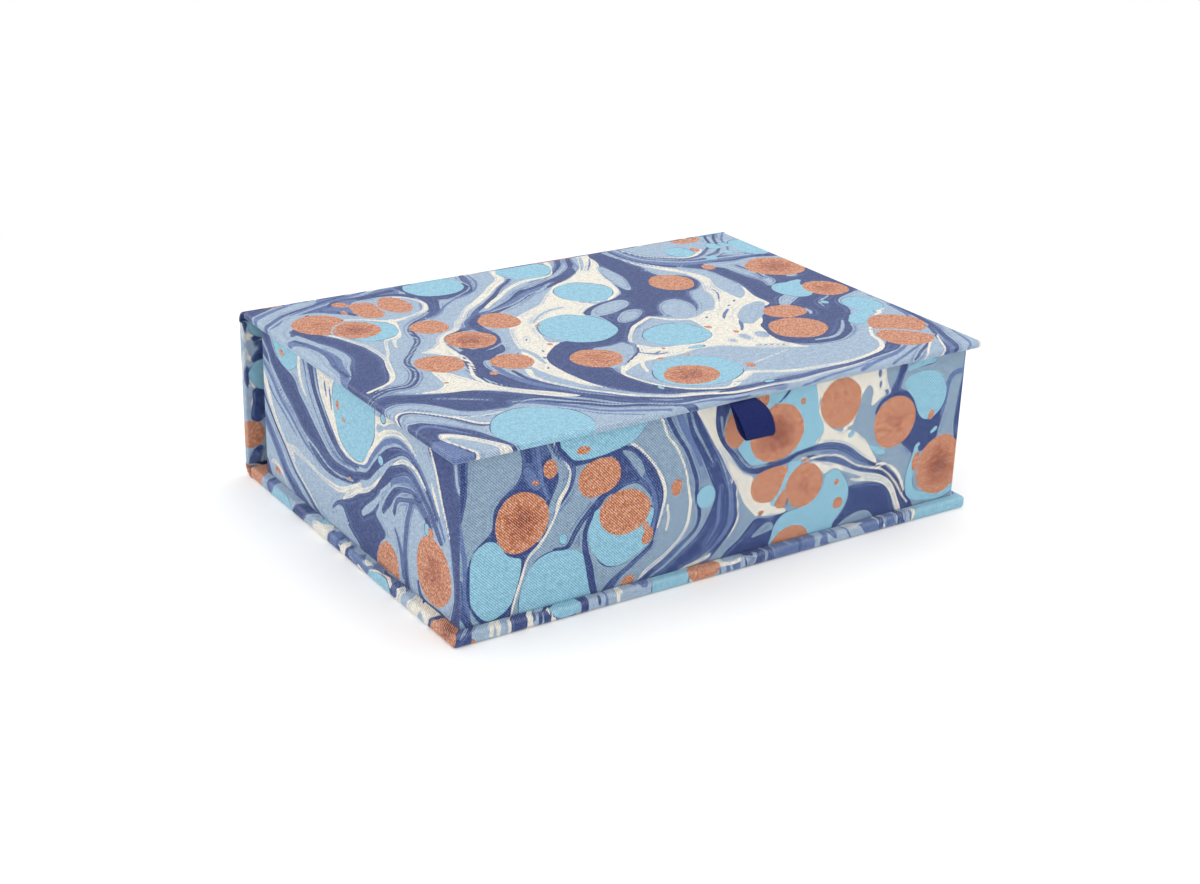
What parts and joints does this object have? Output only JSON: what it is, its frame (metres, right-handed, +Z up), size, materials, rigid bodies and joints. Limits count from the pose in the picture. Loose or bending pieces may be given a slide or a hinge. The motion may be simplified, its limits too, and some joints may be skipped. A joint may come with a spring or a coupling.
{
  "type": "keepsake box",
  "caption": "Book-style keepsake box: a marbled-cloth case of base, spine and lid folds at cloth joints round a walled tray, with a ribbon pull loop under the lid's front edge.",
  "frame": {"origin": "middle of the underside of the base, below the middle of the case's boards", "axes": "+X along the long front to the right as seen from the front, +Y from the front edge to the spine, +Z up out of the base"},
  "size_m": [0.25, 0.1955, 0.0755],
  "materials": {
    "marbled_cloth": "fine cotton twill printed with swirled and dropped marbling in navy, grey-blue, sky blue, cream and copper",
    "joint_lining_cloth": "plain fine navy book cloth",
    "greyboard": "plain dense grey binder's board, matt",
    "infill_card": "plain thin card, matt",
    "lining_paper": "warm white uncoated paper, matt",
    "navy_ribbon": "woven navy ribbon, soft sheen"
  },
  "bodies": {
    "tray_and_base": {"base_board": "greyboard", "base_cover": "marbled_cloth", "base_joint_lining": "joint_lining_cloth", "base_infill": "infill_card", "lower_joint_cloth": "marbled_cloth", "lower_joint_lining": "joint_lining_cloth", "tray_floor_board": "greyboard", "tray_front_wall": "greyboard", "tray_back_wall": "greyboard", "tray_left_wall": "greyboard", "tray_right_wall": "greyboard", "tray_cover": "marbled_cloth", "tray_floor_lining": "lining_paper", "tray_front_lining": "lining_paper", "tray_back_lining": "lining_paper", "tray_left_lining": "lining_paper", "tray_right_lining": "lining_paper"},
    "spine": {"spine_board": "greyboard", "spine_cover": "marbled_cloth", "spine_lining": "joint_lining_cloth", "upper_joint_cloth": "marbled_cloth", "upper_joint_lining": "joint_lining_cloth"},
    "lid": {"lid_board": "greyboard", "lid_cover": "marbled_cloth", "lid_joint_lining": "joint_lining_cloth", "lid_infill": "infill_card", "lid_lining": "lining_paper", "ribbon_tails": "navy_ribbon"},
    "pull_loop": {"pull_ribbon": "navy_ribbon"}
  },
  "joints": [
    {"name": "spine_fold", "type": "hinge", "parent": "tray_and_base", "child": "spine", "pos_m": [0, 0.09284, 0.00176], "axis": [-1, 0, 0], "range_deg": [0, 90], "deforming": ["lower_joint_cloth", "lower_joint_lining"]},
    {"name": "lid_fold", "type": "hinge", "parent": "spine", "child": "lid", "pos_m": [0, 0.09284, 0.07374], "axis": [-1, 0, 0], "range_deg": [0, 90], "deforming": ["upper_joint_cloth", "upper_joint_lining"]},
    {"name": "pull_flex", "type": "hinge", "parent": "lid", "child": "pull_loop", "pos_m": [0, -0.0893, 0.07258], "axis": [-1, 0, 0], "range_deg": [-40, 35], "stiffness_Nm_per_rad": 0.0002}
  ]
}
